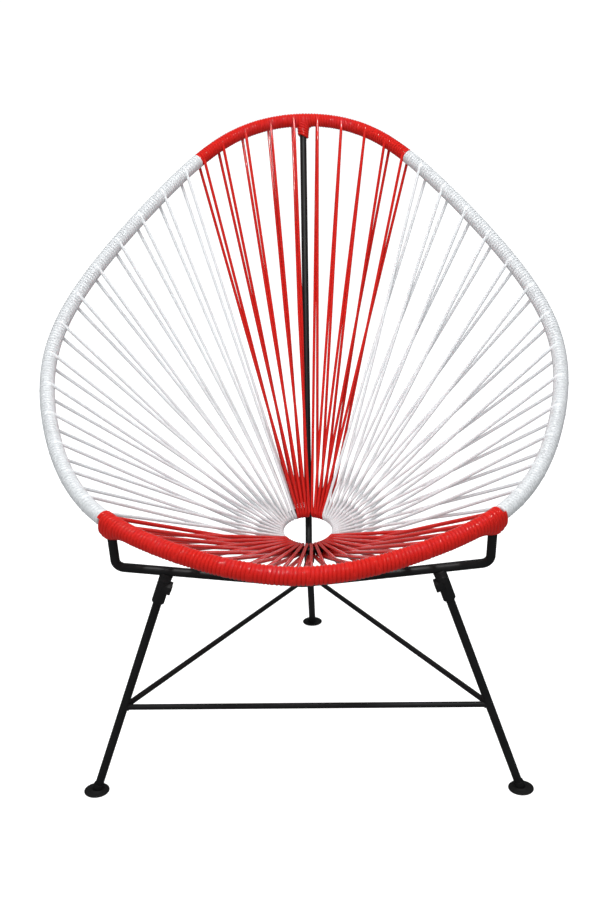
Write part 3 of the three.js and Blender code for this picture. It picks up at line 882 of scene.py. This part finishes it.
armLeft = (cornerLeft - crossbarMiddle).normalized()
leftFoot = Vector((-legs["footSpan"] / 2, -legs["footReach"], 0))
rearFoot = Vector((0, legs["rearReach"], 0))
bendAlong = (spineAhead - spineBack).normalized()
armRadius, spineRadius = base["crossbar"] / 2, base["spine"] / 2
chairLegs = {
    "left": legOf(socketTop, leftFoot, armRadius, armLeft, Vector((1, 0, 0))),
    "right": legOf(mirrored(socketTop), mirrored(leftFoot), armRadius, mirrored(armLeft), Vector((-1, 0, 0))),
    "rear": legOf(bendMiddle(), rearFoot, spineRadius, bendAlong, Vector((0, 1, 0))),
}


# A six-sided nut on the socket's side, its corners along the leg, its rim and uprights eased
def nutMesh(leg):
    bm = bmesh.new()
    corner = sockets["nutFlats"] / 2 / math.cos(math.pi / 6)
    bmesh.ops.create_circle(bm, cap_ends=True, segments=6, radius=corner)
    made = bmesh.ops.extrude_face_region(bm, geom=bm.faces[:])["geom"]
    height = socketRadius + sockets["nutHeight"]
    bmesh.ops.translate(bm, verts=[v for v in made if isinstance(v, bmesh.types.BMVert)], vec=(0, 0, height))
    rim = [e for e in bm.edges if all(v.co.z > height / 2 for v in e.verts)]
    uprights = [e for e in bm.edges if abs(e.verts[0].co.z - e.verts[1].co.z) > height / 2]
    bmesh.ops.bevel(
        bm, geom=rim + uprights, offset=sockets["nutEase"], segments=3, profile=0.5, affect="EDGES",
        material=-1)
    across = leg["out"].cross(leg["down"])
    spun = Matrix((across, -leg["down"], leg["out"])).transposed().to_4x4()
    bmesh.ops.transform(bm, verts=bm.verts[:], matrix=Matrix.Translation(leg["seat"]) @ spun)
    return meshOf(bm, "nut")


def socketMesh(leg):
    end = leg["carrier"] + sockets["length"]
    top = leg["carrier"] - sockets["saddle"]
    bore, outer = legRadius + sockets["fit"], socketRadius
    ease, rim, rimMiddle, boreEase = (sockets[key] for key in ("ease", "rim", "rimMiddle", "boreEase"))
    profile = [
        (0, top), (outer - ease, top), (outer, top + ease), (outer, end - rim),
        (outer - rimMiddle, end - rimMiddle), (outer - rim, end), (bore + boreEase, end),
        (bore, end - boreEase), (bore, end - sockets["boreDepth"]), (0, end - sockets["boreDepth"]),
    ]
    return turnedMesh(profile, leg["top"], leg["down"])


def socketBead(leg):
    place = leg["top"] + leg["down"] * (leg["carrier"] - sockets["beadDrop"])
    radius = socketRadius - sockets["beadInset"]
    return beadMesh(place, -leg["down"], radius, leg["carrierAlong"], leg["carrier"])


# The collar starts where its low side meets the disc
def footMeshes(leg):
    tilt = math.acos(-leg["down"].z)
    start = (feet["collarRise"] + feet["collar"] * math.sin(tilt)) / math.cos(tilt)
    end, bore = feet["collarHeight"], legRadius + feet["fit"]
    collar = [(0, start), (feet["collar"], start)] + feet["collarSide"] + [
        (bore + feet["boreEase"], end), (bore, end - feet["boreEase"]), (bore, feet["boreFloor"]),
        (0, feet["boreFloor"]),
    ]
    return [
        turnedMesh(feet["disc"], leg["foot"], Vector((0, 0, 1))),
        turnedMesh(collar, leg["foot"], -leg["down"]),
    ]


for name, leg in chairLegs.items():
    node = "rear_leg" if name == "rear" else "front_leg_" + name
    steelPiece(name + "Leg", [barMesh([leg["start"], leg["end"]], [], legs["diameter"])], [node])
    steelPiece(name + "Socket", [socketMesh(leg)], ["leg_socket_" + name])
    steelPiece(name + "SocketWeld", [socketBead(leg)], [], weldFinish)
    steelPiece(name + "Nut", [nutMesh(leg)], ["socket_boss_" + name])
    finishPiece(name + "Foot", footMeshes(leg), footFinish, ["foot_" + name])


def atHeight(leg, height):
    return leg["foot"] - leg["down"] * (height / -leg["down"].z)


def strutMesh(start, end):
    run = (end - start).normalized()
    sunk = legRadius * legs["strutSunk"]
    return barMesh([start + run * sunk, end - run * sunk], [], legs["strut"])


def strutBeads(start, end, first, second):
    run = (end - start).normalized()
    meshes = []
    for place, axis, leg in ((start, run, first), (end, -run, second)):
        meet = place + axis * (legRadius + legs["strutFit"])
        meshes.append(beadMesh(meet, axis, strutRadius, leg["down"], legRadius))
    return meshes


def struts():
    left, right, rear = (atHeight(chairLegs[name], legs["strutHeight"]) for name in ("left", "right", "rear"))
    offset = Vector((legs["braceOffset"], 0, 0))
    runs = {
        "stretcherBar": (left, right, "left", "right", "stretcher"),
        "leftBrace": (left, rear - offset, "left", "rear", "brace_left"),
        "rightBrace": (right, rear + offset, "right", "rear", "brace_right"),
    }
    for name, (start, end, first, second, node) in runs.items():
        steelPiece(name, [strutMesh(start, end)], [node])
        beadsMade = strutBeads(start, end, chairLegs[first], chairLegs[second])
        steelPiece(name + "Welds", beadsMade, [], weldFinish)


struts()
for name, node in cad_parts.items():
    node.data.materials.clear()
    node.data.materials.append(screwFinish if name.startswith("set_screw") else steelFinish)
print("steel and feet made")

# Floor and sky. The sky's light grows from the ground value to the sky value between their
# heights. Glossy rays see it dimmed, and the camera sees a white backdrop.
stage = {
    "size": 60, "floor": (0.5, 0.5, 0.5, 1), "floorCloud": (0.52, 0.52, 0.52, 1),
    "cloudGrain": (1.6, 3, 0.5), "floorRoughness": 0.9, "glow": 0.8,
    "tint": (0.97, 0.98, 1, 1), "backdrop": 1.08, "mirrored": 0.14,
    "ground": 0.42, "groundHeight": -0.35, "sky": 0.86, "skyHeight": 0.9,
}


def paleFloor():
    finish = Finish("pale floor")
    cloud = finish.grain(*stage["cloudGrain"])
    finish.set(
        Base_Color=finish.mix(cloud, stage["floor"], stage["floorCloud"]),
        Roughness=stage["floorRoughness"],
        Emission_Color=(1, 1, 1, 1),
        Emission_Strength=stage["glow"],
    )
    return finish.material


# The floor is left out of bounced light, so the sky's lower half alone lights the chair from below
def studioFloor():
    bm = bmesh.new()
    bmesh.ops.create_grid(bm, x_segments=1, y_segments=1, size=stage["size"])
    mesh = meshOf(bm, "studioFloor")
    mesh.materials.append(paleFloor())
    floor = bpy.data.objects.new("studioFloor", mesh)
    floor.visible_diffuse = False
    floor.visible_glossy = False
    scene.collection.objects.link(floor)


def studioSky():
    sky = bpy.data.worlds.new("sky")
    scene.world = sky
    sky.use_nodes = True
    tree = sky.node_tree
    lamp = tree.nodes["Background"]
    lamp.inputs["Color"].default_value = stage["tint"]

    def node(kind, inputs):
        made = tree.nodes.new(kind)
        for key, value in inputs.items():
            if isinstance(value, bpy.types.NodeSocket):
                tree.links.new(value, made.inputs[key])
            else:
                made.inputs[key].default_value = value
        return made.outputs

    direction = node("ShaderNodeTexCoord", {})["Generated"]
    height = node("ShaderNodeSeparateXYZ", {0: direction})[2]
    light = node("ShaderNodeMapRange", {
        "Value": height, "From Min": stage["groundHeight"], "From Max": stage["skyHeight"],
        "To Min": stage["ground"], "To Max": stage["sky"]})[0]
    path = node("ShaderNodeLightPath", {})
    dimmed = node("ShaderNodeMapRange", {
        "Value": path["Is Glossy Ray"], "To Min": light, "To Max": stage["mirrored"]})[0]
    strength = node("ShaderNodeMapRange", {
        "Value": path["Is Camera Ray"], "To Min": dimmed, "To Max": stage["backdrop"]})[0]
    tree.links.new(strength, lamp.inputs["Strength"])


# One small lamp gives the cords their highlights and no other light; the soft ones do the rest
lamps = {
    "keyLamp": {"place": (0.1, -1.1, 2.05), "size": 0.2, "power": 40, "shines": True},
    "frontLamp": {"place": (-0.5, -2.4, 1.2), "size": 1.1, "power": 12, "shines": False},
    "topLamp": {"place": (0, -0.5, 2.6), "size": 1.4, "power": 27, "shines": False},
    "rimLamp": {"place": (0.4, 2.6, 2.4), "size": 1.6, "power": 9, "shines": False},
}
lampAim = Vector((0, 0, 0.4))


def lights():
    for name, settings in lamps.items():
        data = bpy.data.lights.new(name, "AREA")
        data.shape = "DISK"
        data.size = settings["size"]
        data.energy = settings["power"]
        lamp = bpy.data.objects.new(name, data)
        lamp.location = settings["place"]
        lamp.visible_glossy = settings["shines"]
        lamp.visible_diffuse = not settings["shines"]
        aim = lampAim - lamp.location
        lamp.rotation_euler = aim.to_track_quat("-Z", "Y").to_euler()
        scene.collection.objects.link(lamp)


studioFloor()
studioSky()
lights()
print("stage set")
